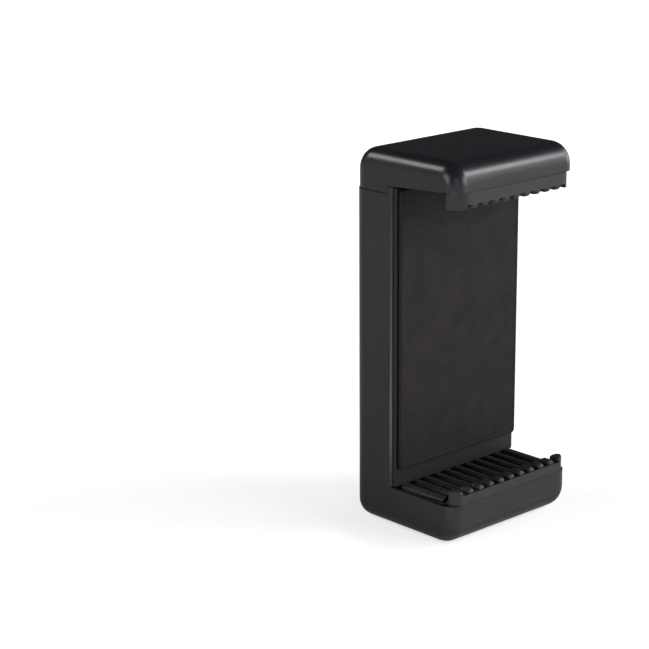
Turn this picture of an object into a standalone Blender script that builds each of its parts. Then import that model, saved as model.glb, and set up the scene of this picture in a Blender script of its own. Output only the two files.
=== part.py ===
# Spring phone holder: a sliding upper jaw pulled down on a fixed lower jaw by two springs.
# Metres, +Z up. X is the width, -Y the side that faces the phone, +Y the back.
# The origin is the middle of the bottom face.

import math

import bmesh
import bpy
from mathutils import Matrix, Vector

# Overall size
HEIGHT = 0.0780
WIDTH = 0.0352
DEPTH = 0.0285

# Clearances
SEAT_GAP = 0.0003
SLIDE_GAP = 0.0003

# Rear housing, measured from the back face (depth) and the bottom face (height)
WALL_DEPTH = 0.0113
BACK_WALL = 0.0024
SIDE_WALL = 0.0024
LOWER_JAW = 0.0086
TAB_EDGE = 0.0036
TRAVEL = 0.0280

# Upper jaw
UPPER_JAW = 0.0058
UPPER_JAW_ROOT = 0.0066
CHEEK_DROP = 0.0081
CHEEK_INSET = 0.00025
RIM_STEP = 0.0013

# Corner rounds of the side profile
END_ROUND = 0.0045
FOOT_BACK_ROUND = 0.0036
FOOT_FRONT_ROUND = 0.0050

# Rounds along the two sides of the profile
HOUSING_EDGE = 0.0032
CAP_EDGE = 0.0032
WALL_FRONT_EDGE = 0.0011

# Tongue of the sliding jaw
TONGUE = 0.0023
TONGUE_ROOT = 0.0003
TONGUE_END_GAP = 0.0021
TONGUE_CORNER = 0.0020
SLOT_SIDE_GAP = 0.0010
SLOT_LOW_GAP = 0.0006
SLOT_HIGH_GAP = 0.0021

# Springs and the posts that hold them
SPRING_SIDE = 0.0038
SPRING_DEPTH = 0.0056
SPRING_RADIUS = 0.0017
SPRING_WIRE = 0.0003
SPRING_TURNS = 13
POST_RADIUS = 0.0014
POST_HEAD = 0.0020
POST_HEAD_LENGTH = 0.0008
LOWER_POST = 0.0125
POST_END_GAP = 0.0011
GUIDE_RIB = 0.0012
GUIDE_RIB_LOW = 0.0160
STOP_RIB = 0.0012
STOP_RIB_DEPTH = 0.0022
STOP_RIB_HALF = 0.0025
STOP_DROP = 0.0011

# Front plate and its screws
PLATE = 0.0009
PLATE_INSET = 0.0001
PLATE_REGISTER = 0.0007
PLATE_EDGE = 0.0003
SCREW_BOSS = 0.0024
SCREW_RADIUS = 0.00095
SCREW_HEAD = 0.0018
SCREW_HEAD_DEPTH = 0.0010
SCREW_LENGTH = 0.0080
SCREW_SINK = 0.0001
LOWER_SCREW = 0.0150
UPPER_SCREW_DROP = 0.0071
CROSS_HALF = 0.00085
CROSS_WIDTH = 0.0002
CROSS_DEPTH = 0.0006

# Pad of the cradle
CRADLE_PAD = 0.0007
CRADLE_PAD_INSET = 0.0005
CRADLE_PAD_RISE = 0.0040
CRADLE_PAD_CORNER = 0.0010
CRADLE_PAD_EDGE = 0.0003

# Ribbed pads of the jaws, heights measured from the plastic face of the jaw
UPPER_PAD_START = 0.0029
LOWER_PAD_START = 0.0015
SHEET_SETBACK = 0.0005
PAD_SINK = 0.0012
RIB_TOP = 0.0008
RIB_DEPTH = 0.0007
RIB_PITCH = 0.0030
RIB_END = 0.0010
GROOVE_WIDTH = 0.0013
UPPER_LIP = 0.0034
UPPER_LIP_THICK = 0.0038
UPPER_LIP_INSET = 0.0009
UPPER_LIP_CORNER = 0.0037
LOWER_LIP = 0.0030
LOWER_LIP_THICK = 0.0027
LOWER_LIP_INSET = 0.0012
LOWER_LIP_CORNER = 0.0022
LIP_FRONT_ROUND = 0.0008
UPPER_NOTCH = 0.0024
LOWER_NOTCH = 0.0021
LIP_TIP_ROUND = 0.0005
LIP_ROOT_ROUND = 0.0008
UPPER_PAD_INSET = 0.0019
LOWER_PAD_INSET = 0.0010

# Brass inserts for a 1/4 inch, 20 turns per inch tripod screw
INSERT_RADIUS = 0.0045
INSERT_TOOTH = 0.0002
INSERT_TEETH = 30
INSERT_LENGTH = 0.0064
INSERT_BORE = 0.0032
INSERT_MOUTH = 0.0035
INSERT_SINK = 0.00005
INSERT_FLOOR = 0.0012
INSERT_BOSS_WALL = 0.0012
REAR_INSERT_HEIGHT = 0.0430
END_INSERT_DEPTH = 0.0145

# Worked-out places
BACK = DEPTH / 2
CAP_HALF = WIDTH / 2 - CHEEK_INSET
CHANNEL_HALF = WIDTH / 2 - SIDE_WALL
CHEEK_LOW = HEIGHT - CHEEK_DROP
CAP_FACE = HEIGHT - UPPER_JAW
CAP_ROOT = HEIGHT - UPPER_JAW_ROOT
WALL_TOP = CHEEK_LOW - SEAT_GAP
RIM_TOP = CAP_ROOT - SEAT_GAP
TAB_HALF = WIDTH / 2 - TAB_EDGE
PLATE_BACK = WALL_DEPTH + SEAT_GAP
PLATE_FRONT = PLATE_BACK + PLATE
REGISTER_BACK = PLATE_BACK - PLATE_REGISTER
TONGUE_FRONT = REGISTER_BACK - SLIDE_GAP
TONGUE_BACK = TONGUE_FRONT - TONGUE
CRADLE_BACK = PLATE_FRONT + SEAT_GAP
CRADLE_FRONT = CRADLE_BACK + CRADLE_PAD
INSERT_BOSS = INSERT_RADIUS + SEAT_GAP + INSERT_BOSS_WALL
STOP_LOW = RIM_TOP - STOP_DROP
UPPER_POST = STOP_LOW - TRAVEL - POST_HEAD - SEAT_GAP
UPPER_SCREW = RIM_TOP - UPPER_SCREW_DROP
SPRING_X = CHANNEL_HALF - SPRING_SIDE
TONGUE_END = LOWER_SCREW + SCREW_BOSS + TONGUE_END_GAP
SLOT_HALF = SCREW_BOSS + SLOT_SIDE_GAP
SLOT_LOW = UPPER_SCREW - SCREW_BOSS - SLOT_LOW_GAP - TRAVEL
SLOT_HIGH = UPPER_SCREW + SCREW_BOSS + SLOT_HIGH_GAP
ARC_STEPS = 8
SIDE_STEPS = 6
ROUND_STEPS = 24
FAR = 0.02
MERGE = 1e-6
CROSSING = 2e-5


def depth(value):
    # Turns a distance from the back face into a Y coordinate
    return BACK - value


def material(name, colour, roughness, metallic=0.0):
    made = bpy.data.materials.new(name)
    made.use_nodes = True
    shader = made.node_tree.nodes["Principled BSDF"]
    shader.inputs["Base Color"].default_value = (*colour, 1.0)
    shader.inputs["Roughness"].default_value = roughness
    shader.inputs["Metallic"].default_value = metallic
    return made


def add_object(name, mesh_data, finish=None):
    made = bpy.data.objects.new(name, mesh_data)
    bpy.context.scene.collection.objects.link(made)
    if finish is not None:
        made.data.materials.append(finish)
    return made


def finish_mesh(name, shape, smooth_angle=None):
    bmesh.ops.recalc_face_normals(shape, faces=shape.faces)
    mesh_data = bpy.data.meshes.new(name)
    shape.to_mesh(mesh_data)
    shape.free()
    if smooth_angle is not None:
        mesh_data.shade_smooth()
        mesh_data.set_sharp_from_angle(angle=math.radians(smooth_angle))
    return mesh_data


def arc(centre, radius, start, end, steps=ARC_STEPS):
    # Points on an arc, angles in degrees, as (first, second) coordinate pairs
    points = []
    for step in range(steps + 1):
        angle = math.radians(start + (end - start) * step / steps)
        points.append((centre[0] + radius * math.cos(angle), centre[1] + radius * math.sin(angle)))
    return points


def extruded(points, move):
    # A face through the points, swept along one direction into a closed shape
    shape = bmesh.new()
    face = shape.faces.new([shape.verts.new(point) for point in points])
    grown = bmesh.ops.extrude_face_region(shape, geom=[face])
    moved = [item for item in grown["geom"] if isinstance(item, bmesh.types.BMVert)]
    bmesh.ops.translate(shape, verts=moved, vec=move)
    return shape


def profile_block(name, outline, low_x, high_x, rounded=0, radius=0.0):
    # Extrudes a (depth, height) outline along X. The first edges of the outline, as many as
    # rounded says, are rounded where they meet the two side faces.
    shape = extruded([(low_x, depth(point[0]), point[1]) for point in outline], (high_x - low_x, 0, 0))
    weights = shape.edges.layers.float.new("bevel_weight_edge")
    middles = []
    for first, second in zip(outline, outline[1:] + outline[:1]):
        middles.append((depth((first[0] + second[0]) / 2), (first[1] + second[1]) / 2))
    for edge in shape.edges:
        start, end = (corner.co for corner in edge.verts)
        if abs(start.x - end.x) < MERGE:
            middle = (start + end) / 2
            gaps = [math.hypot(middle.y - spot[0], middle.z - spot[1]) for spot in middles]
            edge[weights] = 1.0 if gaps.index(min(gaps)) < rounded else 0.0
    made = add_object(name, finish_mesh(name, shape))
    if rounded:
        bevel = made.modifiers.new("side_rounds", "BEVEL")
        bevel.limit_method = "WEIGHT"
        bevel.width = radius
        bevel.segments = SIDE_STEPS
    return made


def box(name, low, high):
    shape = bmesh.new()
    bmesh.ops.create_cube(shape, size=1.0)
    size = Vector(high) - Vector(low)
    middle = (Vector(high) + Vector(low)) / 2
    bmesh.ops.scale(shape, vec=size, verts=shape.verts)
    bmesh.ops.translate(shape, vec=middle, verts=shape.verts)
    return add_object(name, finish_mesh(name, shape))


def turned(name, profile, place, axis, steps=ROUND_STEPS):
    # Turns a (radius, height) profile that starts and ends on the axis, then lays the
    # turning axis along the given direction.
    shape = bmesh.new()
    points = [shape.verts.new((radius, 0, height)) for radius, height in profile]
    edges = [shape.edges.new(pair) for pair in zip(points, points[1:])]
    spun = {"geom": points + edges, "cent": (0, 0, 0), "axis": (0, 0, 1), "angle": 2 * math.pi}
    bmesh.ops.spin(shape, steps=steps, use_merge=True, **spun)
    bmesh.ops.remove_doubles(shape, verts=shape.verts, dist=MERGE)
    turn = Vector((0, 0, 1)).rotation_difference(Vector(axis)).to_matrix().to_4x4()
    bmesh.ops.transform(shape, matrix=Matrix.Translation(place) @ turn, verts=shape.verts)
    return add_object(name, finish_mesh(name, shape, smooth_angle=35))


def rod(name, radius, place, axis, length, steps=ROUND_STEPS):
    return turned(name, [(0, 0), (radius, 0), (radius, length), (0, length)], place, axis, steps)


def combine(target, other, operation):
    # Joins a shape to the target, or cuts it away, and hides it as a working shape
    other.hide_render = True
    other.display_type = "WIRE"
    change = target.modifiers.new(other.name, "BOOLEAN")
    change.operation = operation
    change.solver = "EXACT"
    change.object = other


def cut(target, other):
    combine(target, other, "DIFFERENCE")


def join(target, other):
    combine(target, other, "UNION")


def side_block():
    # The housing's side view before the phone gap is cut: back, foot and lower jaw
    foot_back = arc((FOOT_BACK_ROUND, FOOT_BACK_ROUND), FOOT_BACK_ROUND, 180, 270)
    foot_front_centre = (DEPTH - FOOT_FRONT_ROUND, FOOT_FRONT_ROUND)
    foot_front = arc(foot_front_centre, FOOT_FRONT_ROUND, 270, 360)
    outline = [(0, RIM_TOP)] + foot_back + foot_front + [(DEPTH, RIM_TOP)]
    return profile_block("rear_housing", outline, -WIDTH / 2, WIDTH / 2, len(outline) - 1, HOUSING_EDGE)


def phone_gap_cutter():
    # Clears the space in front of the walls and rounds their two long front edges
    half = WIDTH / 2
    edge_depth = WALL_DEPTH - WALL_FRONT_EDGE
    right = arc((half - WALL_FRONT_EDGE, edge_depth), WALL_FRONT_EDGE, 90, 0)
    left = arc((WALL_FRONT_EDGE - half, edge_depth), WALL_FRONT_EDGE, 180, 90)
    plan = [(-WIDTH, edge_depth)] + left + right
    plan += [(WIDTH, edge_depth), (WIDTH, 2 * DEPTH), (-WIDTH, 2 * DEPTH)]
    shape = extruded([(x, depth(d), LOWER_JAW) for x, d in plan], (0, 0, HEIGHT))
    return add_object("phone_gap_cutter", finish_mesh("phone_gap_cutter", shape))


def top_tab():
    # The back wall goes on up between the cheeks and bends over with the jaw's rounded end
    angle = math.degrees(math.acos((END_ROUND - BACK_WALL) / END_ROUND))
    bend = arc((END_ROUND, HEIGHT - END_ROUND), END_ROUND, 180 - angle, 180)
    outline = [(0, WALL_TOP - BACK_WALL), (BACK_WALL, WALL_TOP - BACK_WALL)] + bend
    return profile_block("top_tab", outline, -TAB_HALF, TAB_HALF)


def channel_and_rim_cuts(housing):
    # The open channel for the tongue, and the step that the cheeks of the upper jaw sit in
    low = (-CHANNEL_HALF, depth(WALL_DEPTH + FAR), LOWER_JAW)
    high = (CHANNEL_HALF, depth(BACK_WALL), HEIGHT + FAR)
    cut(housing, box("channel_cut", low, high))
    low = (-WIDTH, depth(WALL_DEPTH - RIM_STEP), WALL_TOP)
    high = (WIDTH, depth(-FAR), HEIGHT + FAR)
    cut(housing, box("cheek_step", low, high))


def spring_post(name, side, height, start, end):
    # A post along Y with a collar at its free end, so that the spring's loop stays on
    length = abs(end - start)
    outward = 1 if start > end else -1
    profile = [
        (0, 0),
        (POST_RADIUS, 0),
        (POST_RADIUS, length - POST_HEAD_LENGTH),
        (POST_HEAD, length - POST_HEAD_LENGTH),
        (POST_HEAD, length),
        (0, length),
    ]
    return turned(name, profile, (side * SPRING_X, depth(start), height), (0, outward, 0), 16)


def screw_places():
    return [("low", LOWER_SCREW), ("top", UPPER_SCREW)]


def housing_bosses(housing):
    # Everything that stands up from the inside of the back wall
    root = BACK_WALL - SEAT_GAP
    boss_end = INSERT_SINK + INSERT_LENGTH + SEAT_GAP + INSERT_FLOOR
    place = (0, depth(root), REAR_INSERT_HEIGHT)
    join(housing, rod("insert_boss", INSERT_BOSS, place, (0, -1, 0), boss_end - root, 32))
    for name, height in screw_places():
        length = REGISTER_BACK - SEAT_GAP - root
        place = (0, depth(root), height)
        join(housing, rod("screw_boss_" + name, SCREW_BOSS, place, (0, -1, 0), length, 16))
    for side in (-1, 1):
        word = "left" if side < 0 else "right"
        end = TONGUE_BACK - SLIDE_GAP
        join(housing, spring_post("lower_post_" + word, side, LOWER_POST, root, end))
        inner = CHANNEL_HALF - SLIDE_GAP - GUIDE_RIB
        edges = sorted((side * inner, side * (inner + GUIDE_RIB)))
        low = (edges[0], depth(TONGUE_BACK - SLIDE_GAP), GUIDE_RIB_LOW)
        high = (edges[1], depth(root), WALL_TOP)
        join(housing, box("guide_rib_" + word, low, high))
        low = (side * SPRING_X - STOP_RIB_HALF, depth(BACK_WALL + STOP_RIB_DEPTH), STOP_LOW)
        high = (side * SPRING_X + STOP_RIB_HALF, depth(root), STOP_LOW + STOP_RIB)
        join(housing, box("stop_rib_" + word, low, high))


def insert_pocket(name, place, axis):
    # A blind bore for an insert, cut from outside the wall
    length = INSERT_SINK + INSERT_LENGTH + SEAT_GAP
    start = Vector(place) - Vector(axis) * FAR
    return rod(name, INSERT_RADIUS + SEAT_GAP, start, axis, length + FAR, 32)


def pad_recess(name, half_width, face, outward, start, thick):
    # The shallow pocket in a jaw's face that the ribbed pad sits in
    low_depth = WALL_DEPTH + start - SEAT_GAP
    high_depth = DEPTH - thick - SHEET_SETBACK + SEAT_GAP
    heights = sorted((face + outward * FAR, face - outward * PAD_SINK))
    low = (-half_width - SEAT_GAP, depth(high_depth), heights[0])
    high = (half_width + SEAT_GAP, depth(low_depth), heights[1])
    return box(name, low, high)


def build_rear_housing(finish):
    housing = side_block()
    housing.data.materials.append(finish)
    cut(housing, phone_gap_cutter())
    channel_and_rim_cuts(housing)
    join(housing, top_tab())
    housing_bosses(housing)
    cut(housing, insert_pocket("rear_insert_pocket", (0, BACK, REAR_INSERT_HEIGHT), (0, -1, 0)))
    end_place = (0, depth(END_INSERT_DEPTH), 0)
    cut(housing, insert_pocket("end_insert_pocket", end_place, (0, 0, 1)))
    half = WIDTH / 2 - LOWER_PAD_INSET
    recess = pad_recess("lower_recess", half, LOWER_JAW, 1, LOWER_PAD_START, LOWER_LIP_THICK)
    cut(housing, recess)
    for name, height in screw_places():
        start = depth(PLATE_FRONT - SCREW_SINK - SCREW_LENGTH - SEAT_GAP)
        pilot = rod("pilot_" + name, SCREW_RADIUS + SEAT_GAP, (0, start, height), (0, -1, 0), FAR, 12)
        cut(housing, pilot)
    return housing


def cap_block():
    # The cap of the sliding jaw: rounded end outside, a step for the walls underneath
    top_back = arc((END_ROUND, HEIGHT - END_ROUND), END_ROUND, 180, 90)
    top_front = arc((DEPTH - END_ROUND, HEIGHT - END_ROUND), END_ROUND, 90, 0)
    step = WALL_DEPTH - RIM_STEP - SEAT_GAP
    outside = [(0, CHEEK_LOW)] + top_back + top_front + [(DEPTH, CAP_FACE)]
    underside = [(DEPTH - UPPER_LIP_THICK, CAP_FACE), (step, CAP_ROOT), (step, CHEEK_LOW)]
    return profile_block("sliding_jaw", outside + underside, -CAP_HALF, CAP_HALF, len(outside) - 1, CAP_EDGE)


def tongue_solid():
    # The flat tongue that slides in the channel, with a slot for the upper screw boss
    half = CHANNEL_HALF - SLIDE_GAP
    corner = TONGUE_CORNER
    points = [(-half, CAP_FACE + TONGUE_ROOT)]
    points += arc((-half + corner, TONGUE_END + corner), corner, 180, 270, 4)
    points += arc((half - corner, TONGUE_END + corner), corner, 270, 360, 4)
    points += [(half, CAP_FACE + TONGUE_ROOT)]
    shape = extruded([(x, depth(TONGUE_BACK), z) for x, z in points], (0, -TONGUE, 0))
    return add_object("tongue_solid", finish_mesh("tongue_solid", shape))


def slot_cutter():
    points = arc((0, SLOT_LOW + SLOT_HALF), SLOT_HALF, 180, 360, 8)
    points += arc((0, SLOT_HIGH - SLOT_HALF), SLOT_HALF, 0, 180, 8)
    shape = extruded([(x, depth(TONGUE_BACK - TONGUE), z) for x, z in points], (0, -3 * TONGUE, 0))
    return add_object("slot_cutter", finish_mesh("slot_cutter", shape))


def build_sliding_jaw(finish):
    jaw = cap_block()
    jaw.data.materials.append(finish)
    low = (-TAB_HALF - SEAT_GAP, depth(BACK_WALL + SEAT_GAP), CHEEK_LOW - FAR)
    high = (TAB_HALF + SEAT_GAP, depth(-FAR), HEIGHT + FAR)
    cut(jaw, box("tab_clearance", low, high))
    low = (-CHANNEL_HALF, depth(WALL_DEPTH), CHEEK_LOW - FAR)
    high = (CHANNEL_HALF, depth(BACK_WALL), CAP_FACE)
    cut(jaw, box("cheek_gap", low, high))
    half = WIDTH / 2 - UPPER_PAD_INSET
    recess = pad_recess("upper_recess", half, CAP_FACE, -1, UPPER_PAD_START, UPPER_LIP_THICK)
    cut(jaw, recess)
    tongue = tongue_solid()
    cut(tongue, slot_cutter())
    for side in (-1, 1):
        word = "left" if side < 0 else "right"
        start = TONGUE_BACK + TONGUE_ROOT
        end = BACK_WALL + POST_END_GAP
        join(tongue, spring_post("upper_post_" + word, side, UPPER_POST, start, end))
    join(jaw, tongue)
    return jaw


def build_front_plate(finish):
    # The flange lies on the channel walls and the register drops in between them
    half = WIDTH / 2 - PLATE_INSET
    low_z = LOWER_JAW + SEAT_GAP
    high_z = RIM_TOP
    low = (-half, depth(PLATE_FRONT), low_z)
    high = (half, depth(PLATE_BACK), high_z)
    plate = box("front_plate", low, high)
    plate.data.materials.append(finish)
    bevel = plate.modifiers.new("front_edges", "BEVEL")
    bevel.width = PLATE_EDGE
    bevel.segments = 2
    bevel.limit_method = "ANGLE"
    register_half = CHANNEL_HALF - SEAT_GAP
    low = (-register_half, depth(PLATE_FRONT - PLATE_EDGE), low_z + PLATE_EDGE)
    high = (register_half, depth(REGISTER_BACK), high_z - PLATE_EDGE)
    join(plate, box("plate_register", low, high))
    for name, height in screw_places():
        profile = [
            (0, 0),
            (SCREW_RADIUS + SEAT_GAP, 0),
            (SCREW_RADIUS + SEAT_GAP, FAR - SCREW_HEAD_DEPTH),
            (SCREW_HEAD + SEAT_GAP, FAR),
            (SCREW_HEAD + SEAT_GAP, FAR + SCREW_LENGTH),
            (0, FAR + SCREW_LENGTH),
        ]
        place = (0, depth(PLATE_FRONT - SCREW_SINK - FAR), height)
        cut(plate, turned("screw_hole_" + name, profile, place, (0, -1, 0), 16))
    return plate


def build_screw(name, height, finish):
    # A countersunk self-tapping screw with a cross recess, its head towards the phone
    shaft = SCREW_LENGTH
    profile = [
        (0, 0),
        (SCREW_RADIUS * 0.4, 0),
        (SCREW_RADIUS, SCREW_RADIUS * 1.5),
        (SCREW_RADIUS, shaft - SCREW_HEAD_DEPTH),
        (SCREW_HEAD, shaft),
        (0, shaft),
    ]
    head = PLATE_FRONT - SCREW_SINK
    screw = turned("plate_screw_" + name, profile, (0, depth(head - shaft), height), (0, -1, 0), 16)
    screw.data.materials.append(finish)
    for word, across, along in (("level", CROSS_HALF, CROSS_WIDTH), ("upright", CROSS_WIDTH, CROSS_HALF)):
        low = (-across, depth(head + FAR), height - along)
        high = (across, depth(head - CROSS_DEPTH), height + along)
        cut(screw, box("cross_" + word + "_" + name, low, high))
    return screw


def rounded_sheet(name, half_width, low, high, back, front, corner, edge, finish):
    points = arc((-half_width + corner, low + corner), corner, 180, 270, 4)
    points += arc((half_width - corner, low + corner), corner, 270, 360, 4)
    points += arc((half_width - corner, high - corner), corner, 0, 90, 4)
    points += arc((-half_width + corner, high - corner), corner, 90, 180, 4)
    shape = extruded([(x, depth(back), z) for x, z in points], (0, back - front, 0))
    rim = [line for line in shape.edges if all(abs(v.co.y - depth(front)) < 1e-7 for v in line.verts)]
    bmesh.ops.bevel(shape, geom=rim, offset=edge, segments=2, profile=0.5, affect="EDGES")
    return add_object(name, finish_mesh(name, shape, smooth_angle=40), finish)


def build_cradle_pad(finish):
    half = WIDTH / 2 - CRADLE_PAD_INSET
    low = LOWER_JAW + SEAT_GAP + CRADLE_PAD_RISE
    high = RIM_TOP - SEAT_GAP
    return rounded_sheet(
        "cradle_pad", half, low, high, CRADLE_BACK, CRADLE_FRONT, CRADLE_PAD_CORNER, CRADLE_PAD_EDGE, finish
    )


def pad_section(face, outward, start, lip, thick):
    # The ribbed pad from the side: a sheet sunk in the jaw, then a hooked lip at the front
    back = WALL_DEPTH + start
    lip_back = DEPTH - thick
    sheet_front = lip_back - SHEET_SETBACK
    sunk = -PAD_SINK + SEAT_GAP
    front_round = LIP_FRONT_ROUND
    points = [(back, sunk), (sheet_front, sunk), (sheet_front, SEAT_GAP), (DEPTH, SEAT_GAP)]
    points += arc((DEPTH - front_round, lip - front_round), front_round, 0, 90, 4)
    points += arc((lip_back + LIP_TIP_ROUND, lip - LIP_TIP_ROUND), LIP_TIP_ROUND, 90, 180, 3)
    points += arc((lip_back - LIP_ROOT_ROUND, RIB_TOP + LIP_ROOT_ROUND), LIP_ROOT_ROUND, 0, -90, 3)
    points += [(back, RIB_TOP)]
    return [(point[0], face + outward * point[1]) for point in points]


def groove_section(face, outward, lip, thick, notch):
    # What a groove takes out of the pad, seen from the side
    floor = RIB_TOP - RIB_DEPTH
    ramp = DEPTH - thick - LIP_ROOT_ROUND
    top = lip + FAR
    points = [(WALL_DEPTH, floor), (ramp, floor), (ramp + notch - floor, notch), (DEPTH + FAR, notch)]
    points += [(DEPTH + FAR, top), (WALL_DEPTH, top)]
    return [(point[0], face + outward * point[1]) for point in points]


def lip_corner_cutter(name, side, lip_half, corner, face):
    # Rounds one upright corner at the front of a pad, so that it follows the jaw's own corner
    centre = (lip_half - corner, DEPTH - corner)
    curve = arc(centre, corner + CROSSING, 0, 90, ARC_STEPS)
    plan = curve + [(centre[0], DEPTH + FAR), (lip_half + FAR, DEPTH + FAR), (lip_half + FAR, centre[1])]
    shape = extruded([(side * x, depth(d), face - FAR) for x, d in plan], (0, 0, 2 * FAR))
    return add_object(name, finish_mesh(name, shape))


def build_jaw_pad(name, half_width, lip_half, face, outward, start, lip, thick, corner, notch, finish):
    # The whole section is as wide as the lip; the sheet behind the lip is then cut narrower
    pad = profile_block(name, pad_section(face, outward, start, lip, thick), -lip_half, lip_half)
    pad.data.materials.append(finish)
    for side, word in ((-1, "left"), (1, "right")):
        edges = sorted((side * half_width, side * (lip_half + FAR)))
        low = (edges[0], depth(DEPTH - thick + CROSSING), face - FAR)
        high = (edges[1], depth(0), face + FAR)
        cut(pad, box(name + "_side_" + word, low, high))
        cut(pad, lip_corner_cutter(name + "_corner_" + word, side, lip_half, corner, face))
    count = int((2 * (half_width - RIB_END) - GROOVE_WIDTH) / RIB_PITCH) + 1
    for index in range(count):
        middle = (index - (count - 1) / 2) * RIB_PITCH
        label = name + "_groove_" + str(index + 1)
        section = groove_section(face, outward, lip, thick, notch)
        cut(pad, profile_block(label, section, middle - GROOVE_WIDTH / 2, middle + GROOVE_WIDTH / 2))
    return pad


def build_insert(name, place, axis, finish):
    # A knurled brass bush: the outline of the teeth is extruded, then bored through
    outline = []
    for step in range(2 * INSERT_TEETH):
        angle = math.pi * step / INSERT_TEETH
        radius = INSERT_RADIUS if step % 2 == 0 else INSERT_RADIUS - INSERT_TOOTH
        outline.append((radius * math.cos(angle), radius * math.sin(angle), 0))
    shape = extruded(outline, (0, 0, INSERT_LENGTH))
    turn = Vector((0, 0, 1)).rotation_difference(Vector(axis)).to_matrix().to_4x4()
    start = Vector(place) + Vector(axis) * INSERT_SINK
    bmesh.ops.transform(shape, matrix=Matrix.Translation(start) @ turn, verts=shape.verts)
    insert = add_object(name, finish_mesh(name, shape), finish)
    chamfer = INSERT_MOUTH - INSERT_BORE
    profile = [
        (0, 0),
        (INSERT_MOUTH + chamfer, 0),
        (INSERT_BORE, 2 * chamfer),
        (INSERT_BORE, INSERT_LENGTH + FAR),
        (0, INSERT_LENGTH + FAR),
    ]
    bore = turned(name + "_bore", profile, start - Vector(axis) * chamfer, axis, 24)
    cut(insert, bore)
    return insert


def spring_path(side):
    # Lower loop, close coils and upper loop, as one line of points around the spring's axis
    middle = Vector((side * SPRING_X, depth(SPRING_DEPTH), 0))
    loop = POST_RADIUS + SEAT_GAP + SPRING_WIRE
    points = []
    for step in range(12):
        angle = math.radians(125 + 325 * step / 11)
        points.append(middle + Vector((loop * math.cos(angle), 0, LOWER_POST + loop * math.sin(angle))))
    low = LOWER_POST + loop
    high = UPPER_POST - loop
    lead = 4 * SPRING_WIRE
    steps = 11 * SPRING_TURNS
    for step in range(1, steps):
        share = step / steps
        turn = 2 * math.pi * SPRING_TURNS * share
        grow = min(1.0, share * SPRING_TURNS * 1.6, (1 - share) * SPRING_TURNS * 1.6)
        radius = SPRING_RADIUS * grow
        height = low + lead * min(1.0, share * SPRING_TURNS) * 0.5
        height += (high - low - lead) * share + lead * 0.5 * max(0.0, 1 - (1 - share) * SPRING_TURNS)
        points.append(middle + Vector((radius * math.sin(turn), radius * math.cos(turn), height)))
    for step in range(12):
        angle = math.radians(270 + 325 * step / 11)
        points.append(middle + Vector((loop * math.cos(angle), 0, UPPER_POST + loop * math.sin(angle))))
    return points


def build_spring(name, side, finish):
    line = bpy.data.curves.new(name, "CURVE")
    line.dimensions = "3D"
    line.bevel_depth = SPRING_WIRE
    line.bevel_resolution = 1
    line.use_fill_caps = True
    path = spring_path(side)
    spline = line.splines.new("POLY")
    spline.points.add(len(path) - 1)
    for point, place in zip(spline.points, path):
        point.co = (*place, 1.0)
    spline.use_smooth = True
    return add_object(name, line, finish)


def main():
    for old in list(bpy.data.objects):
        bpy.data.objects.remove(old)
    shell = material("satin_black_plastic", (0.030, 0.030, 0.033), 0.42)
    plate = material("matt_black_plastic", (0.026, 0.026, 0.028), 0.5)
    rubber = material("black_rubber", (0.018, 0.018, 0.019), 0.65)
    leather = material("grained_sheet", (0.034, 0.029, 0.028), 0.8)
    brass = material("brass", (0.85, 0.68, 0.36), 0.28, 1.0)
    steel = material("spring_steel", (0.60, 0.60, 0.61), 0.3, 1.0)

    build_rear_housing(shell)
    jaw = build_sliding_jaw(shell)
    build_front_plate(plate)
    build_cradle_pad(leather)
    widths = (WIDTH / 2 - LOWER_PAD_INSET, WIDTH / 2 - LOWER_LIP_INSET)
    lip = (LOWER_LIP, LOWER_LIP_THICK, LOWER_LIP_CORNER, LOWER_NOTCH)
    build_jaw_pad("lower_jaw_pad", *widths, LOWER_JAW, 1, LOWER_PAD_START, *lip, rubber)
    widths = (WIDTH / 2 - UPPER_PAD_INSET, WIDTH / 2 - UPPER_LIP_INSET)
    lip = (UPPER_LIP, UPPER_LIP_THICK, UPPER_LIP_CORNER, UPPER_NOTCH)
    upper_pad = build_jaw_pad("upper_jaw_pad", *widths, CAP_FACE, -1, UPPER_PAD_START, *lip, rubber)
    build_insert("rear_insert", (0, BACK, REAR_INSERT_HEIGHT), (0, -1, 0), brass)
    build_insert("end_insert", (0, depth(END_INSERT_DEPTH), 0), (0, 0, 1), brass)
    for name, height in screw_places():
        build_screw(name, height, steel)
    for side, word in ((-1, "left"), (1, "right")):
        build_spring("spring_" + word, side, steel)

    slide = bpy.data.objects.new("jaw_slide", None)
    bpy.context.scene.collection.objects.link(slide)
    for moving in (jaw, upper_pad):
        moving.parent = slide


main()
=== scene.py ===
"""Looks of the spring phone holder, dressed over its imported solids."""

import logging
import math
from contextlib import contextmanager
from dataclasses import dataclass, field
from enum import Enum
from typing import Callable, Iterator

import bpy
from mathutils import Matrix, Vector


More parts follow.
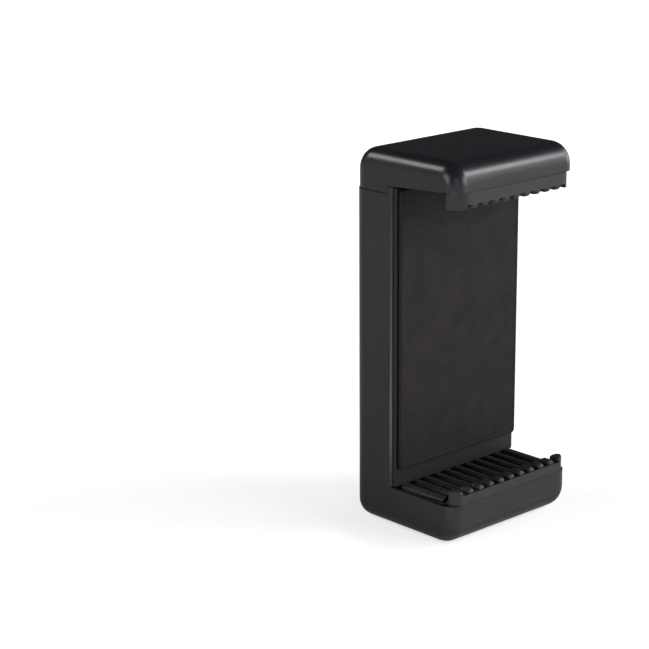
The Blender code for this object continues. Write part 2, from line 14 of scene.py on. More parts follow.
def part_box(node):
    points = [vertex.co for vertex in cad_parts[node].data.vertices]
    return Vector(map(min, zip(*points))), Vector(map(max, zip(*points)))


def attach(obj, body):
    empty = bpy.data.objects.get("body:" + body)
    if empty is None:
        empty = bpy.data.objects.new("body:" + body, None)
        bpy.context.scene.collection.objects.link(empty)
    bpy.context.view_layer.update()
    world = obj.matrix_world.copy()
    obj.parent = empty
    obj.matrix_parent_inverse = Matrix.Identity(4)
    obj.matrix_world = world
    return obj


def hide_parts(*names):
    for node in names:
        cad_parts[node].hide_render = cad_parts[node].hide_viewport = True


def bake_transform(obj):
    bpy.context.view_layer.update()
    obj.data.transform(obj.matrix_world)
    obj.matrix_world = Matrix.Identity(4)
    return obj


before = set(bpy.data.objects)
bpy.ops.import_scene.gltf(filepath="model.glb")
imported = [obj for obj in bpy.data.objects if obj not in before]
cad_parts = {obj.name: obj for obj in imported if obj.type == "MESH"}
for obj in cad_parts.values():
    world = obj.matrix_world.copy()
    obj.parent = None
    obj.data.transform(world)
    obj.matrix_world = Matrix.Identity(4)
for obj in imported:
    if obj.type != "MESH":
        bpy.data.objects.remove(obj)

MM = 0.001
# Points closer than this, in metres, are one point
SMALLEST = 1e-6
# Two heights or places that differ by less count as level
LEVEL_MM = 0.01
# Share of a normal along a direction that counts as facing it, and as facing across it
ALONG = 0.99
ACROSS = 0.01
# The middle part of a noise pattern, where nearly all its values lie
NOISE_LOW = 0.3
NOISE_HIGH = 0.7

log = logging.getLogger("phone_holder")


class Body(Enum):
    """The two rigid bodies that pieces ride on."""

    HOLDER = "holder"
    JAW = "jaw"


class Facing(Enum):
    """Directions that a piece's faces are picked by."""

    FRONT = (0.0, -1.0, 0.0)
    BACK = (0.0, 1.0, 0.0)
    UP = (0.0, 0.0, 1.0)
    DOWN = (0.0, 0.0, -1.0)


def linear(hex_colour: str) -> tuple[float, float, float, float]:
    """Turns an sRGB hex colour into linear light.

    Args:
        hex_colour: Six hex digits, such as "2a2b2d".

    Returns:
        Red, green, blue and alpha.
    """
    parts = []
    for start in (0, 2, 4):
        value = int(hex_colour[start:start + 2], 16) / 255
        parts.append(value / 12.92 if value <= 0.04045 else ((value + 0.055) / 1.055) ** 2.4)
    return (parts[0], parts[1], parts[2], 1.0)


def add_node(
    tree: bpy.types.NodeTree, kind: str, settings: dict | None = None, links: dict | None = None
) -> bpy.types.Node:
    """Adds one shader node with its settings and links.

    Args:
        tree: The material's or world's node tree.
        kind: Blender's name for the kind of node.
        settings: Values by attribute name, or by input name or number.
        links: Output sockets by the name or number of the input that each feeds.

    Returns:
        The new node.
    """
    node = tree.nodes.new(kind)
    for key, value in (settings or {}).items():
        if isinstance(key, str) and hasattr(node, key):
            setattr(node, key, value)
        else:
            node.inputs[key].default_value = value
    for key, socket in (links or {}).items():
        tree.links.new(socket, node.inputs[key])
    return node


def deselect_all() -> None:
    """Leaves object mode with nothing selected."""
    if bpy.context.mode != "OBJECT":
        bpy.ops.object.mode_set(mode="OBJECT")
    bpy.ops.object.select_all(action="DESELECT")


def pick(piece: bpy.types.Object) -> None:
    """Makes one piece the only selected and active object."""
    deselect_all()
    piece.select_set(True)
    bpy.context.view_layer.objects.active = piece


@contextmanager
def edit_mode(piece: bpy.types.Object, mode: str = "VERT") -> Iterator[None]:
    """Opens one piece in edit mode with nothing selected, and closes it again.

    Args:
        piece: The mesh to edit.
        mode: VERT, EDGE or FACE.
    """
    pick(piece)
    bpy.ops.object.mode_set(mode="EDIT")
    bpy.ops.mesh.select_mode(type=mode)
    bpy.ops.mesh.select_all(action="DESELECT")
    yield
    bpy.ops.object.mode_set(mode="OBJECT")


def select_faces(
    piece: bpy.types.Object, test: Callable[[bpy.types.MeshPolygon], bool]
) -> None:
    """Selects the faces of the open piece that pass a test.

    Args:
        piece: The piece that is open in edit mode.
        test: Takes a face and says whether it is wanted.
    """
    bpy.ops.mesh.select_mode(type="FACE")
    bpy.ops.mesh.select_all(action="DESELECT")
    bpy.ops.object.mode_set(mode="OBJECT")
    for face in piece.data.polygons:
        face.select = test(face)
    bpy.ops.object.mode_set(mode="EDIT")


def select_edges(piece: bpy.types.Object, test: Callable[[Vector, Vector], bool]) -> None:
    """Selects the edges of the open piece whose two ends pass a test.

    Args:
        piece: The piece that is open in edit mode.
        test: Takes the places of both ends and says whether the edge is wanted.
    """
    bpy.ops.mesh.select_mode(type="EDGE")
    bpy.ops.mesh.select_all(action="DESELECT")
    bpy.ops.object.mode_set(mode="OBJECT")
    points = piece.data.vertices
    for edge in piece.data.edges:
        edge.select = test(points[edge.vertices[0]].co, points[edge.vertices[1]].co)
    bpy.ops.object.mode_set(mode="EDIT")


def looks(face: bpy.types.MeshPolygon, facing: Facing) -> bool:
    """True where a face looks within about eight degrees of a direction."""
    return face.normal.dot(Vector(facing.value)) > ALONG


def settle(piece: bpy.types.Object) -> None:
    """Puts a piece's place, turn and size into its mesh."""
    pick(piece)
    bpy.ops.object.transform_apply(location=True, rotation=True, scale=True)


def shape_with(piece: bpy.types.Object, kind: str, **settings: object) -> None:
    """Adds one modifier and applies it.

    Args:
        piece: The mesh to change.
        kind: Blender's name for the kind of modifier.
        settings: The modifier's values by attribute name.
    """
    pick(piece)
    bpy.ops.object.modifier_add(type=kind)
    modifier = piece.modifiers[-1]
    for key, value in settings.items():
        setattr(modifier, key, value)
    bpy.ops.object.modifier_apply(modifier=modifier.name)


def merged_copy(node: str, name: str) -> bpy.types.Object:
    """Takes a copy of one CAD node's mesh with its points merged.

    Args:
        node: The CAD node, which stays as it is.
        name: The copy's name.

    Returns:
        The copy, in place.
    """
    piece = bpy.data.objects.new(name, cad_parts[node].data.copy())
    bpy.context.scene.collection.objects.link(piece)
    with edit_mode(piece):
        bpy.ops.mesh.customdata_custom_splitnormals_clear()
        bpy.ops.mesh.select_all(action="SELECT")
        bpy.ops.mesh.remove_doubles(threshold=SMALLEST)
    return piece


def smooth(piece: bpy.types.Object, degrees: float) -> None:
    """Shades a piece smooth, apart from edges sharper than an angle."""
    pick(piece)
    bpy.ops.object.shade_smooth_by_angle(angle=math.radians(degrees))


@dataclass(frozen=True)
class Grain:
    """A fine relief of a surface.

    Attributes:
        size_mm: Distance between neighbouring grains.
        height_mm: Depth of the relief.
        detail: Octaves of noise.
        roughness: Contrast of the finer octaves.
    """

    size_mm: float
    height_mm: float
    detail: float = 3.0
    roughness: float = 0.55


@dataclass(frozen=True)
class Finish:
    """A solid-coloured surface with fine relief and uneven gloss.

    Attributes:
        name: The material's name.
        colour: sRGB hex of the body colour.
        second: sRGB hex that the colour drifts to.
        drift_mm: Size of the drift's patches.
        gloss: Lowest and highest roughness.
        grain: The relief.
        metallic: 1 for bare metal.
        ior: Refractive index of a dielectric.
    """

    name: str
    colour: str
    second: str
    drift_mm: float
    gloss: tuple[float, float]
    grain: Grain
    metallic: float = 0.0
    ior: float = 1.5

    def relief(
        self, tree: bpy.types.NodeTree, place: bpy.types.NodeSocket
    ) -> bpy.types.NodeSocket:
        """Makes the height pattern of the surface.

        Args:
            tree: The material's node tree.
            place: Object coordinates.

        Returns:
            The socket with the height, from 0 to 1.
        """
        grain = add_node(
            tree,
            "ShaderNodeTexNoise",
            {
                "Scale": 1 / (self.grain.size_mm * MM),
                "Detail": self.grain.detail,
                "Roughness": self.grain.roughness,
            },
            {"Vector": place},
        )
        return grain.outputs["Fac"]

    def make(self) -> bpy.types.Material:
        """Builds the material.

        Returns:
            The material, ready to assign.
        """
        made = bpy.data.materials.new(self.name)
        made.use_nodes = True
        tree = made.node_tree
        shader = tree.nodes["Principled BSDF"]
        shader.inputs["Metallic"].default_value = self.metallic
        if not self.metallic:
            shader.inputs["IOR"].default_value = self.ior
        place = add_node(tree, "ShaderNodeTexCoord").outputs["Object"]
        drift = add_node(
            tree,
            "ShaderNodeTexNoise",
            {"Scale": 1 / (self.drift_mm * MM), "Detail": 2.0},
            {"Vector": place},
        )
        tint = add_node(
            tree,
            "ShaderNodeMix",
            {"data_type": "RGBA", 6: linear(self.colour), 7: linear(self.second)},
            {0: drift.outputs["Fac"]},
        )
        tree.links.new(tint.outputs[2], shader.inputs["Base Color"])
        height = self.relief(tree, place)
        gloss = add_node(
            tree,
            "ShaderNodeMapRange",
            {
                "From Min": NOISE_LOW,
                "From Max": NOISE_HIGH,
                "To Min": self.gloss[0],
                "To Max": self.gloss[1],
            },
            {"Value": drift.outputs["Fac"]},
        )
        tree.links.new(gloss.outputs[0], shader.inputs["Roughness"])
        bump = add_node(
            tree,
            "ShaderNodeBump",
            {"Strength": 1.0, "Distance": self.grain.height_mm * MM},
            {"Height": height},
        )
        tree.links.new(bump.outputs["Normal"], shader.inputs["Normal"])
        return made


@dataclass(frozen=True)
class PebbledSheet(Finish):
    """A soft sheet pressed with pebbles, browner on their tops, with painted shade darkening the
    valleys between them.

    Attributes:
        valley: sRGB hex of the painted shade in the low ground between the pebbles.
        slope: Heights, from 0 to 1, between which the colour turns from valley to top.
    """

    # Painted shade for the valleys between the pebbles
    valley: str = "141213"
    slope: tuple[float, float] = (0.4, 0.6)

    def make(self) -> bpy.types.Material:
        """Builds the material, with painted shade in the low ground between the pebbles.

        Returns:
            The material, ready to assign.
        """
        made = super().make()
        tree = made.node_tree
        shader = tree.nodes["Principled BSDF"]
        tint = shader.inputs["Base Color"].links[0].from_socket
        bump = shader.inputs["Normal"].links[0].from_node
        height = bump.inputs["Height"].links[0].from_socket
        # Painted shade: the colour darkens towards the valley colour where the pebbles' height
        # is low
        lift = add_node(
            tree,
            "ShaderNodeMapRange",
            {"From Min": self.slope[0], "From Max": self.slope[1]},
            {"Value": height},
        )
        valley_shade = add_node(
            tree,
            "ShaderNodeMix",
            {"data_type": "RGBA", 6: linear(self.valley)},
            {0: lift.outputs[0], 7: tint},
        )
        tree.links.new(valley_shade.outputs[2], shader.inputs["Base Color"])
        return made


class Finishes:
    """Every finish of the holder, made once."""

    def __init__(self) -> None:
        """Makes the materials."""
        # ABS, injection moulded in a finely spark-eroded steel mould: satin, even, cool black
        self.shell = Finish(
            name="satin_abs_moulded",
            colour="1b1a21",
            second="1e1d24",
            drift_mm=9.0,
            gloss=(0.28, 0.33),
            grain=Grain(size_mm=0.22, height_mm=0.006),
        ).make()
        # ABS, injection moulded in a mould with a coarser texture than the shell's: duller black
        self.plate = Finish(
            name="matt_abs_moulded",
            colour="111215",
            second="141518",
            drift_mm=7.0,
            gloss=(0.55, 0.62),
            grain=Grain(size_mm=0.3, height_mm=0.012),
            ior=1.42,
        ).make()
        # Thermoplastic rubber, injection moulded: greyer and duller than the shell, soft glints
        self.rubber = Finish(
            name="moulded_rubber",
            colour="1c1d20",
            second="202124",
            drift_mm=5.0,
            gloss=(0.55, 0.64),
            grain=Grain(size_mm=0.25, height_mm=0.01),
        ).make()
        # EVA foam sheet, hot pressed on a pebbled roller: brown-black, dry and matt, with
        # painted shade in the valleys between the pebbles
        self.sheet = PebbledSheet(
            name="pebbled_foam_sheet",
            colour="281d1c",
            second="19181b",
            drift_mm=5.0,
            gloss=(0.66, 0.76),
            grain=Grain(size_mm=0.42, height_mm=0.07, detail=2.0, roughness=0.5),
            ior=1.32,
        ).make()
        # Free-cutting brass, turned and knurled: bright yellow, slightly uneven gloss
        self.brass = Finish(
            name="turned_brass",
            colour="d9b36a",
            second="e6c885",
            drift_mm=1.5,
            gloss=(0.2, 0.32),
            grain=Grain(size_mm=0.12, height_mm=0.004),
            metallic=1.0,
        ).make()
        # Music wire, drawn and coiled, and zinc-plated screws: grey metal
        self.steel = Finish(
            name="drawn_steel_wire",
            colour="a9abad",
            second="9a9c9f",
            drift_mm=2.0,
            gloss=(0.25, 0.38),
            grain=Grain(size_mm=0.15, height_mm=0.004),
            metallic=1.0,
        ).make()


def dress(piece: bpy.types.Object, finish: bpy.types.Material) -> None:
    """Gives a piece one finish all over."""
    piece.data.materials.clear()
    piece.data.materials.append(finish)


def report(piece: bpy.types.Object) -> None:
    """Logs a finished piece's name and size in faces."""
    log.info("%s: %d faces", piece.name, len(piece.data.polygons))


@dataclass(frozen=True)
class Seam:
    """A level face that stands off its neighbour in the solids and closes on it here.

    Attributes:
        height_mm: Height of the face in the solids.
        close_mm: How far it moves, up or down.
    """

    height_mm: float
    close_mm: float


# Soft edge of the plate and the rubber, finer than the shell's
THIN_EDGE_MM = 0.08
# The cheeks' feet on the side walls, and each pad's sheet on its jaw
CHEEK_SEAM = Seam(height_mm=69.9, close_mm=-0.26)
LOWER_PAD_SEAM = Seam(height_mm=8.9, close_mm=-0.25)
UPPER_PAD_SEAM = Seam(height_mm=71.9, close_mm=0.25)


@dataclass
class MouldedPiece:
    """A moulding that keeps its solid's shape and gains soft edges.

    Attributes:
        node: The CAD node that the piece stands for.
        body: The body that it rides on.
        slot: The record's material slot; not used.
        edge_mm: Width of the soft edge.
        rings: Steps across the soft edge.
        sharp_degrees: Edges sharper than this are softened.
        seam: The face that closes on its neighbour, if there is one.
    """

    node: str
    body: Body
    slot: str
    edge_mm: float = 0.14
    rings: int = 2
    sharp_degrees: float = 50.0
    seam: Seam | None = None

    def cleaned(self) -> bpy.types.Object:
        """Takes a merged copy of the solid and closes its seam to a hairline.

        Returns:
            The copy, with plain faces.
        """
        piece = merged_copy(self.node, self.node + "_moulding")
        with edit_mode(piece):
            bpy.ops.mesh.select_all(action="SELECT")
            bpy.ops.mesh.dissolve_limited(angle_limit=math.radians(0.6))
            if self.seam:
                level = self.seam.height_mm * MM
                bpy.ops.mesh.select_all(action="DESELECT")
                bpy.ops.object.mode_set(mode="OBJECT")
                for point in piece.data.vertices:
                    point.select = abs(point.co.z - level) < LEVEL_MM * MM
                bpy.ops.object.mode_set(mode="EDIT")
                bpy.ops.transform.translate(value=(0, 0, self.seam.close_mm * MM))
        return piece

    def soften(self, piece: bpy.types.Object) -> None:
        """Rounds the wider edges of the piece; a plain moulding has none."""

    def build(self, finish: bpy.types.Material) -> bpy.types.Object:
        """Builds the moulding from a merged copy of its solid.

        Args:
            finish: The material.

        Returns:
            The finished piece.
        """
        piece = self.cleaned()
        self.soften(piece)
        shape_with(
            piece,
            "BEVEL",
            width=self.edge_mm * MM,
            segments=self.rings,
            limit_method="ANGLE",
            angle_limit=math.radians(self.sharp_degrees),
            miter_outer="MITER_ARC",
        )
        smooth(piece, degrees=40.0)
        shape_with(piece, "WEIGHTED_NORMAL", keep_sharp=True)
        dress(piece, finish)
        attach(piece, self.body.value)
        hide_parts(self.node)
        report(piece)
        return piece


@dataclass
class JawShell(MouldedPiece):
    """The sliding jaw, whose sloped underside also closes on the tops of the walls.

    Attributes:
        hinge_y_mm: Front end of the slope, which stays.
        step_y_mm: Back end of the slope, at the cheeks' step.
        step_z_mm: Height of the slope at that step.
        rise: Rise of the slope towards the front.
        drop_mm: How far the step's end of the slope comes down.
    """

    hinge_y_mm: float = -10.25
    step_y_mm: float = 4.55
    step_z_mm: float = 71.4
    rise: float = 0.0535
    drop_mm: float = 0.26

    def cleaned(self) -> bpy.types.Object:
        """Takes the merged copy and tilts its underside down at the back.

        Returns:
            The copy, with plain faces.
        """
        piece = super().cleaned()
        length = self.step_y_mm - self.hinge_y_mm
        for point in piece.data.vertices:
            y_mm, z_mm = point.co.y / MM, point.co.z / MM
            level = self.step_z_mm + (self.step_y_mm - y_mm) * self.rise
            in_reach = self.hinge_y_mm < y_mm <= self.step_y_mm + LEVEL_MM
            if in_reach and abs(z_mm - level) < LEVEL_MM:
                point.co.z -= self.drop_mm * MM * (y_mm - self.hinge_y_mm) / length
        return piece


@dataclass
class RibbedPad(MouldedPiece):
    """A jaw's rubber pad, whose ribs and lip teeth are rounded like rods.

    Attributes:
        rib_mm: Radius of the long edges of the ribs.
        rib_steps: Steps across that round.
        probe_mm: Distance from an edge at which the rubber is looked for.
    """

    rib_mm: float = 0.5
    rib_steps: int = 4
    probe_mm: float = 0.02

    def stands_out(
        self, piece: bpy.types.Object, middle: Vector, first: Vector, second: Vector
    ) -> bool:
        """Tells a standing edge from one in a corner.

        Args:
            piece: The pad.
            middle: The middle of the edge.
            first: The normal of one face at the edge.
            second: The normal of the other face.

        Returns:
            True where the edge stands out of the rubber.
        """
        probe = middle + (first - second) * self.probe_mm * MM
        found, place, normal, _ = piece.closest_point_on_mesh(probe)
        return found and (probe - place).dot(normal) > 0

    def soften(self, piece: bpy.types.Object) -> None:
        """Rounds the edges along the flanks of the ribs."""
        points = piece.data.vertices
        faces_at: dict[tuple[int, int], list[Vector]] = {}
        for face in piece.data.polygons:
            for key in face.edge_keys:
                faces_at.setdefault(tuple(sorted(key)), []).append(face.normal.copy())
        weights = piece.data.attributes.new("bevel_weight_edge", "FLOAT", "EDGE")
        for edge in piece.data.edges:
            start, end = (points[index].co for index in edge.vertices)
            normals = faces_at.get(tuple(sorted(edge.vertices)), [])
            if len(normals) != 2 or abs(start.x - end.x) > LEVEL_MM * MM:
                continue
            flanks = [abs(normal.x) > ALONG for normal in normals]
            level = [abs(normal.x) < ACROSS for normal in normals]
            if (flanks[0] and level[1]) or (flanks[1] and level[0]):
                out = self.stands_out(piece, (start + end) / 2, *normals)
                weights.data[edge.index].value = 1.0 if out else 0.0
        shape_with(
            piece,
            "BEVEL",
            width=self.rib_mm * MM,
            segments=self.rib_steps,
            limit_method="WEIGHT",
            use_clamp_overlap=False,
            miter_outer="MITER_SHARP",
        )


@dataclass
class CradlePad:
    """The pebbled sheet that the phone's back lies against.

    Attributes:
        corner_mm: Radius of its four corners.
        corner_steps: Steps across each corner.
        border_mm: Width of the smooth border.
        edge_mm: Round of its front rim.
        edge_steps: Steps across the rim.
        sink_mm: How far the pebbled field lies below the border.
    """

    corner_mm: float = 1.0
    corner_steps: int = 6
    border_mm: float = 0.45
    edge_mm: float = 0.2
    edge_steps: int = 3
    sink_mm: float = 0.05

    def build(self, finish: bpy.types.Material) -> bpy.types.Object:
        """Builds the sheet from a cube.

        Args:
            finish: The material.

        Returns:
            The finished piece.
        """
        low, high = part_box("cradle_pad")
        bpy.ops.mesh.primitive_cube_add(size=1.0, location=(low + high) / 2, scale=high - low)
        piece = bpy.context.object
        piece.name = "cradle_sheet"
        settle(piece)
        with edit_mode(piece, "EDGE"):
            select_edges(piece, lambda a, b: abs(a.y - b.y) > SMALLEST)
            bpy.ops.mesh.bevel(offset=self.corner_mm * MM, segments=self.corner_steps)
            select_faces(piece, lambda face: looks(face, Facing.FRONT))
            bpy.ops.mesh.bevel(offset=self.edge_mm * MM, segments=self.edge_steps)
            select_faces(piece, lambda face: looks(face, Facing.FRONT))
            bpy.ops.mesh.inset(thickness=self.border_mm * MM)
            bpy.ops.mesh.inset(thickness=self.sink_mm * MM, depth=-self.sink_mm * MM)
        smooth(piece, degrees=40.0)
        dress(piece, finish)
        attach(piece, Body.HOLDER.value)
        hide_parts("cradle_pad")
        report(piece)
        return piece


@dataclass
class ThreadedInsert:
    """A knurled brass bush with a 1/4 inch tripod thread.

    Attributes:
        node: The CAD node that the bush stands for.
        out: The direction that its mouth faces.
        teeth: Knurl teeth round the rim.
        tooth_mm: Depth of the knurl.
        tooth_steps: Sides of the bush to one tooth.
        rim_mm: Width of the flat ring inside the knurl, on both ends.
        bore_mm: Radius at the thread's roots.
        bore_steps: Sides of the bore.
        crest_mm: Radius at the thread's crests.
        pitch_mm: Distance between turns, 20 to the inch.
        root_share: Half the ridge's width at its root, as a share of the pitch.
        crest_share: Half its width at its crest.
        bite_mm: How far the ridge's root stands in the brass.
        start_mm: Plain bore below the first turn.
        plain_mm: Plain bore at both ends together.
        turn_steps: Steps to one turn of the ridge.
        mouth_mm: Radius of the chamfered mouth.
    """

    node: str
    out: Facing
    teeth: int = 30
    tooth_mm: float = 0.22
    tooth_steps: int = 4
    rim_mm: float = 0.35
    bore_mm: float = 3.2
    bore_steps: int = 64
    crest_mm: float = 2.6
    pitch_mm: float = 1.27
    root_share: float = 0.42
    crest_share: float = 0.06
    bite_mm: float = 0.08
    start_mm: float = 0.5
    plain_mm: float = 1.2
    turn_steps: int = 48
    mouth_mm: float = 3.5

    def frame_of(self) -> tuple[Matrix, float, float]:
        """Works out where the bush stands.

        Returns:
            The matrix that lays +Z along the mouth's direction from the bush's inner end,
            its radius and its length.
        """
        low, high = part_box(self.node)
        out = Vector(self.out.value)
        size = high - low
        length = abs(size.dot(out))
        radius = max(size) / 2 if length < max(size) else sorted(size)[1] / 2
        middle = (low + high) / 2
        turn = Vector((0, 0, 1)).rotation_difference(out).to_matrix().to_4x4()
        return Matrix.Translation(middle - out * length / 2) @ turn, radius, length

    def bush(self, radius: float, length: float) -> bpy.types.Object:
        """Makes the knurled, bored bush standing on the origin.

        Args:
            radius: Outer radius over the teeth.
            length: Length along its axis.

        Returns:
            The bush, without its thread.
        """
        sides = self.teeth * self.tooth_steps
        bpy.ops.mesh.primitive_cylinder_add(
            vertices=sides,
            radius=radius,
            depth=length,
            location=(0, 0, length / 2),
            end_fill_type="NGON",
        )
        piece = bpy.context.object
        settle(piece)
        with edit_mode(piece):
            bpy.ops.object.mode_set(mode="OBJECT")
            for point in piece.data.vertices:
                step = round(math.atan2(point.co.y, point.co.x) / (2 * math.pi) * sides)
                point.select = step % self.tooth_steps in (0, self.tooth_steps - 1)
            bpy.ops.object.mode_set(mode="EDIT")
            share = 1 - self.tooth_mm * MM / radius
            bpy.ops.transform.resize(value=(share, share, 1), center_override=(0, 0, 0))
            select_faces(piece, lambda face: looks(face, Facing.UP) or looks(face, Facing.DOWN))
            bpy.ops.mesh.inset(thickness=self.rim_mm * MM)
            bpy.ops.object.mode_set(mode="OBJECT")
        cutter = self.bore(length)
        shape_with(piece, "BOOLEAN", operation="DIFFERENCE", solver="EXACT", object=cutter)
        bpy.data.objects.remove(cutter)
        return piece

    def bore(self, length: float) -> bpy.types.Object:
        """Makes the shape of the bore with its chamfered mouth.

        Args:
            length: Length of the bush.

        Returns:
            The cutter.
        """
        chamfer = (self.mouth_mm - self.bore_mm) * MM
        past_ends = 4 * MM
        bpy.ops.mesh.primitive_cylinder_add(
            vertices=self.bore_steps,
            radius=self.bore_mm * MM,
            depth=length + past_ends,
            location=(0, 0, length / 2),
        )
        cutter = bpy.context.object
        settle(cutter)
        bpy.ops.mesh.primitive_cone_add(
            vertices=self.bore_steps,
            radius1=self.bore_mm * MM - chamfer,
            radius2=self.mouth_mm * MM + chamfer,
            depth=3 * chamfer,
            location=(0, 0, length - chamfer / 2),
        )
        mouth = bpy.context.object
        settle(mouth)
        shape_with(cutter, "BOOLEAN", operation="UNION", solver="EXACT", object=mouth)
        bpy.data.objects.remove(mouth)
        return cutter

    def thread(self, length: float) -> bpy.types.Object:
        """Makes the thread's ridge, a triangle wound up the bore.

        Args:
            length: Length of the bush.

        Returns:
            The ridge, standing on the origin.
        """
        root = self.bore_mm * MM + self.bite_mm * MM
        crest = self.crest_mm * MM
        half = self.pitch_mm * MM * self.root_share
        flat = self.pitch_mm * MM * self.crest_share
        start = self.start_mm * MM + half
        bpy.ops.mesh.primitive_plane_add(size=1.0)
        ridge = bpy.context.object
        corners = [
            (root, start - half),
            (root, start + half),
            (crest, start + flat),
            (crest, start - flat),
        ]
        order = [(-0.5, -0.5), (-0.5, 0.5), (0.5, 0.5), (0.5, -0.5)]
        for point in ridge.data.vertices:
            index = order.index((round(point.co.x, 1), round(point.co.y, 1)))
            point.co = (corners[index][0], 0, corners[index][1])
        turns = int((length - self.plain_mm * MM - 2 * half) / (self.pitch_mm * MM))
        with edit_mode(ridge):
            bpy.ops.mesh.select_all(action="SELECT")
            bpy.ops.mesh.delete(type="ONLY_FACE")
        shape_with(
            ridge,
            "SCREW",
            screw_offset=self.pitch_mm * MM,
            iterations=turns,
            steps=self.turn_steps,
            render_steps=self.turn_steps,
            use_merge_vertices=True,
            merge_threshold=SMALLEST,
        )
        with edit_mode(ridge):
            bpy.ops.mesh.select_all(action="SELECT")
            bpy.ops.mesh.remove_doubles(threshold=SMALLEST)
            bpy.ops.mesh.select_all(action="DESELECT")
            bpy.ops.mesh.select_non_manifold()
            bpy.ops.mesh.fill_holes(sides=4)
            bpy.ops.mesh.select_all(action="SELECT")
            bpy.ops.mesh.normals_make_consistent(inside=False)
        return ridge

    def build(self, finish: bpy.types.Material) -> bpy.types.Object:
        """Builds the bush with its thread, in place.

        Args:
            finish: The material.

        Returns:
            The finished piece.
        """
        place, radius, length = self.frame_of()
        piece = self.bush(radius, length)
        ridge = self.thread(length)
        shape_with(piece, "BOOLEAN", operation="UNION", solver="EXACT", object=ridge)
        bpy.data.objects.remove(ridge)
        piece.name = self.node + "_bush"
        piece.matrix_world = place
        settle(piece)
        smooth(piece, degrees=30.0)
        dress(piece, finish)
        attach(piece, Body.HOLDER.value)
        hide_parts(self.node)
        report(piece)
        return piece


@dataclass
class TensionSpring:
    """A coiled wire between the two bodies, copied from its solid.

    Attributes:
        node: The CAD node that the spring stands for.
    """

    node: str

    def build(self, finish: bpy.types.Material) -> bpy.types.Object:
        """Builds the spring from a merged copy of its solid.

        Args:
            finish: The material.

        Returns:
            The finished piece.
        """
        piece = merged_copy(self.node, self.node + "_wire")
        smooth(piece, degrees=80.0)
        dress(piece, finish)
        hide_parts(self.node)
        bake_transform(piece)
        report(piece)
        return piece


@dataclass(frozen=True)
class Lamp:
    """A soft lamp: a round one that faces the holder, or a lit card on the floor that faces up.

    Attributes:
        name: The lamp's name.
        place: Its middle in metres.
        size: Diameter of the round lamp, or width of the card.
        power: Watts.
        length: Length of the card, 0 for a round lamp.
        heading: Turn of the card's length from +X, in degrees.
    """

    name: str
    place: tuple[float, float, float]
    size: float
    power: float
    length: float = 0.0
    heading: float = 0.0

    def hang(self, aim: Vector) -> bpy.types.Object:
        """Puts the lamp in its place.

        Args:
            aim: The point that a round lamp faces.

        Returns:
            The lamp.
        """
        lamp = bpy.data.lights.new(self.name, "AREA")
        lamp.energy = self.power
        made = bpy.data.objects.new(self.name, lamp)
        bpy.context.scene.collection.objects.link(made)
        made.location = self.place
        if self.length:
            lamp.shape = "RECTANGLE"
            lamp.size = self.length
            lamp.size_y = self.size
            made.rotation_euler = (math.pi, 0, math.radians(self.heading))
        else:
            lamp.shape = "DISK"
            lamp.size = self.size
            made.rotation_euler = (aim - Vector(self.place)).to_track_quat("-Z", "Y").to_euler()
        made.visible_camera = False
        return made


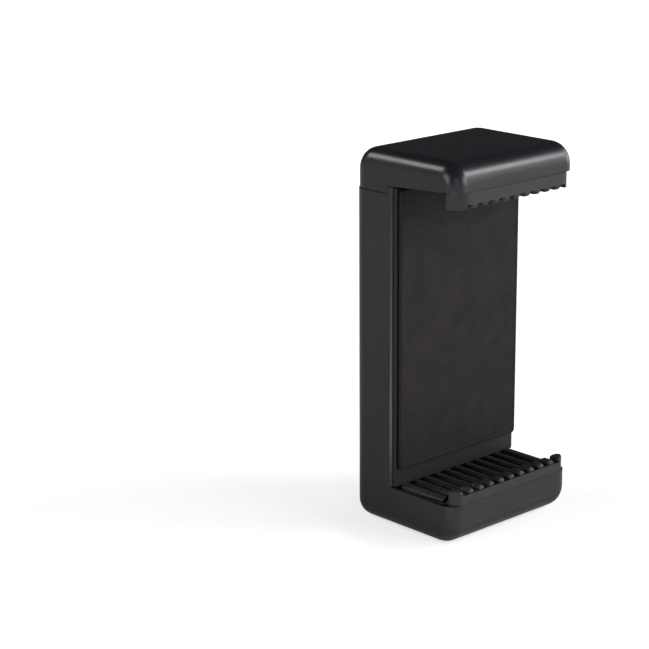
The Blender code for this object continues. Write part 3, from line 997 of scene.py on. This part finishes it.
@dataclass
class Studio:
    """White floor, soft lamps and the photograph's camera.

    Attributes:
        eye: The camera's place in metres.
        right: The picture's right in the row frame.
        down: The picture's down.
        forward: The camera's line of sight.
        focal_px: Focal length in pixels of the photograph.
        frame_px: Width of the photograph in pixels.
        sensor_mm: Width of the camera's sensor.
        aim: The point that the round lamps face.
        lamps: Every lamp and lit card.
        ambient: Strength of the room's even light.
        glow_reach: Distances from the holder between which the floor turns white.
        glow: What the camera sees added to the floor at those distances.
    """

    eye: tuple[float, float, float] = (-0.291207, -0.275217, 0.155353)
    right: tuple[float, float, float] = (0.735286, -0.67772, -0.006599)
    down: tuple[float, float, float] = (-0.191705, -0.198628, -0.961146)
    forward: tuple[float, float, float] = (0.650076, 0.70799, -0.275966)
    focal_px: float = 2035.0
    frame_px: float = 649.0
    sensor_mm: float = 36.0
    aim: tuple[float, float, float] = (0.0, 0.0, 0.04)
    ambient: float = 0.042
    glow_reach: tuple[float, float] = (0.1, 0.6)
    glow: tuple[float, float] = (0.62, 1.0)
    lamps: list[Lamp] = field(
        default_factory=lambda: [
            Lamp("back_softbox", (-0.51, 0.85, 0.72), 0.42, 3.5),
            Lamp("right_softbox", (0.91, -0.78, 0.79), 0.42, 5.6),
            Lamp("front_strip", (0.45, -1.05, 0.35), 0.8, 7.0),
            Lamp("right_fill", (1.3, -0.35, 0.3), 1.0, 8.5),
            Lamp("near_left_lamp", (-0.2, -0.24, 0.14), 0.2, 0.085),
            Lamp("left_fill", (-1.2, 0.3, 0.35), 0.7, 4.2),
            Lamp("back_fill", (-0.72, 1.08, 0.2), 0.7, 0.35),
            Lamp("floor_card", (-0.15, -0.065, 0.001), 0.05, 0.09, length=0.22, heading=205.0),
            Lamp("front_card", (0.03, -0.5853, 0.001), 1.1395, 0.5, length=0.545),
        ]
    )

    def camera(self) -> bpy.types.Object:
        """Places the camera where the photograph was taken from.

        Returns:
            The camera.
        """
        lens = bpy.data.cameras.new("photo_camera")
        lens.sensor_width = self.sensor_mm
        lens.lens = self.focal_px / self.frame_px * self.sensor_mm
        lens.clip_start = 0.01
        made = bpy.data.objects.new("photo_camera", lens)
        bpy.context.scene.collection.objects.link(made)
        columns = (Vector(self.right), -Vector(self.down), -Vector(self.forward))
        turn = Matrix([[column[row] for column in columns] for row in range(3)]).to_4x4()
        made.matrix_world = Matrix.Translation(Vector(self.eye)) @ turn
        bpy.context.scene.camera = made
        return made

    def floor(self) -> bpy.types.Object:
        """Lays the white floor under the holder.

        Returns:
            The floor.
        """
        far = 12.0
        bpy.ops.mesh.primitive_plane_add(size=far, location=(0, 0, 0))
        made = bpy.context.object
        made.name = "floor"
        paint = bpy.data.materials.new("white_studio_floor")
        paint.use_nodes = True
        tree = paint.node_tree
        shader = tree.nodes["Principled BSDF"]
        shader.inputs["Base Color"].default_value = linear("e6e6e6")
        shader.inputs["Roughness"].default_value = 0.9
        shader.inputs["Specular IOR Level"].default_value = 0.0
        shader.inputs["Emission Color"].default_value = linear("ffffff")
        place = add_node(tree, "ShaderNodeTexCoord").outputs["Object"]
        reach = add_node(tree, "ShaderNodeVectorMath", {"operation": "LENGTH"}, {0: place})
        glow = add_node(
            tree,
            "ShaderNodeMapRange",
            {
                "From Min": self.glow_reach[0],
                "From Max": self.glow_reach[1],
                "To Min": self.glow[0],
                "To Max": self.glow[1],
            },
            {"Value": reach.outputs["Value"]},
        )
        path = add_node(tree, "ShaderNodeLightPath")
        seen = add_node(
            tree,
            "ShaderNodeMath",
            {"operation": "MULTIPLY"},
            {0: path.outputs["Is Camera Ray"], 1: glow.outputs[0]},
        )
        tree.links.new(seen.outputs[0], shader.inputs["Emission Strength"])
        dress(made, paint)
        return made

    def light(self) -> None:
        """Hangs the lamps and sets the world."""
        for lamp in self.lamps:
            lamp.hang(Vector(self.aim))
        world = bpy.data.worlds.new("studio")
        bpy.context.scene.world = world
        world.use_nodes = True
        tree = world.node_tree
        path = add_node(tree, "ShaderNodeLightPath")
        strength = add_node(
            tree,
            "ShaderNodeMix",
            {"data_type": "FLOAT", 2: self.ambient, 3: 1.0},
            {0: path.outputs["Is Camera Ray"]},
        )
        background = tree.nodes["Background"]
        background.inputs["Color"].default_value = (1, 1, 1, 1)
        tree.links.new(strength.outputs[0], background.inputs["Strength"])
        bpy.context.scene.view_settings.view_transform = "Standard"

    def build(self) -> None:
        """Sets up the whole studio."""
        self.camera()
        self.floor()
        self.light()


def main() -> None:
    """Builds the studio and every piece of the holder, in order."""
    logging.basicConfig(level=logging.INFO, format="%(message)s")
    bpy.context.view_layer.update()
    deselect_all()
    Studio().build()
    finishes = Finishes()
    housing = MouldedPiece("rear_housing", Body.HOLDER, "satin_black_plastic")
    housing.build(finishes.shell)
    jaw = JawShell("sliding_jaw", Body.JAW, "satin_black_plastic", seam=CHEEK_SEAM)
    jaw.build(finishes.shell)
    plate = MouldedPiece("front_plate", Body.HOLDER, "matt_black_plastic", edge_mm=THIN_EDGE_MM)
    plate.build(finishes.plate)
    CradlePad().build(finishes.sheet)
    pads = (
        ("lower_jaw_pad", Body.HOLDER, LOWER_PAD_SEAM),
        ("upper_jaw_pad", Body.JAW, UPPER_PAD_SEAM),
    )
    for node, body, seam in pads:
        pad = RibbedPad(node, body, "black_rubber", edge_mm=THIN_EDGE_MM, seam=seam)
        pad.build(finishes.rubber)
    ThreadedInsert("rear_insert", Facing.BACK).build(finishes.brass)
    ThreadedInsert("end_insert", Facing.DOWN).build(finishes.brass)
    for node in ("spring_left", "spring_right"):
        TensionSpring(node).build(finishes.steel)
    for node in ("plate_screw_low", "plate_screw_top"):
        dress(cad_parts[node], finishes.steel)


if __name__ == "__main__":
    main()
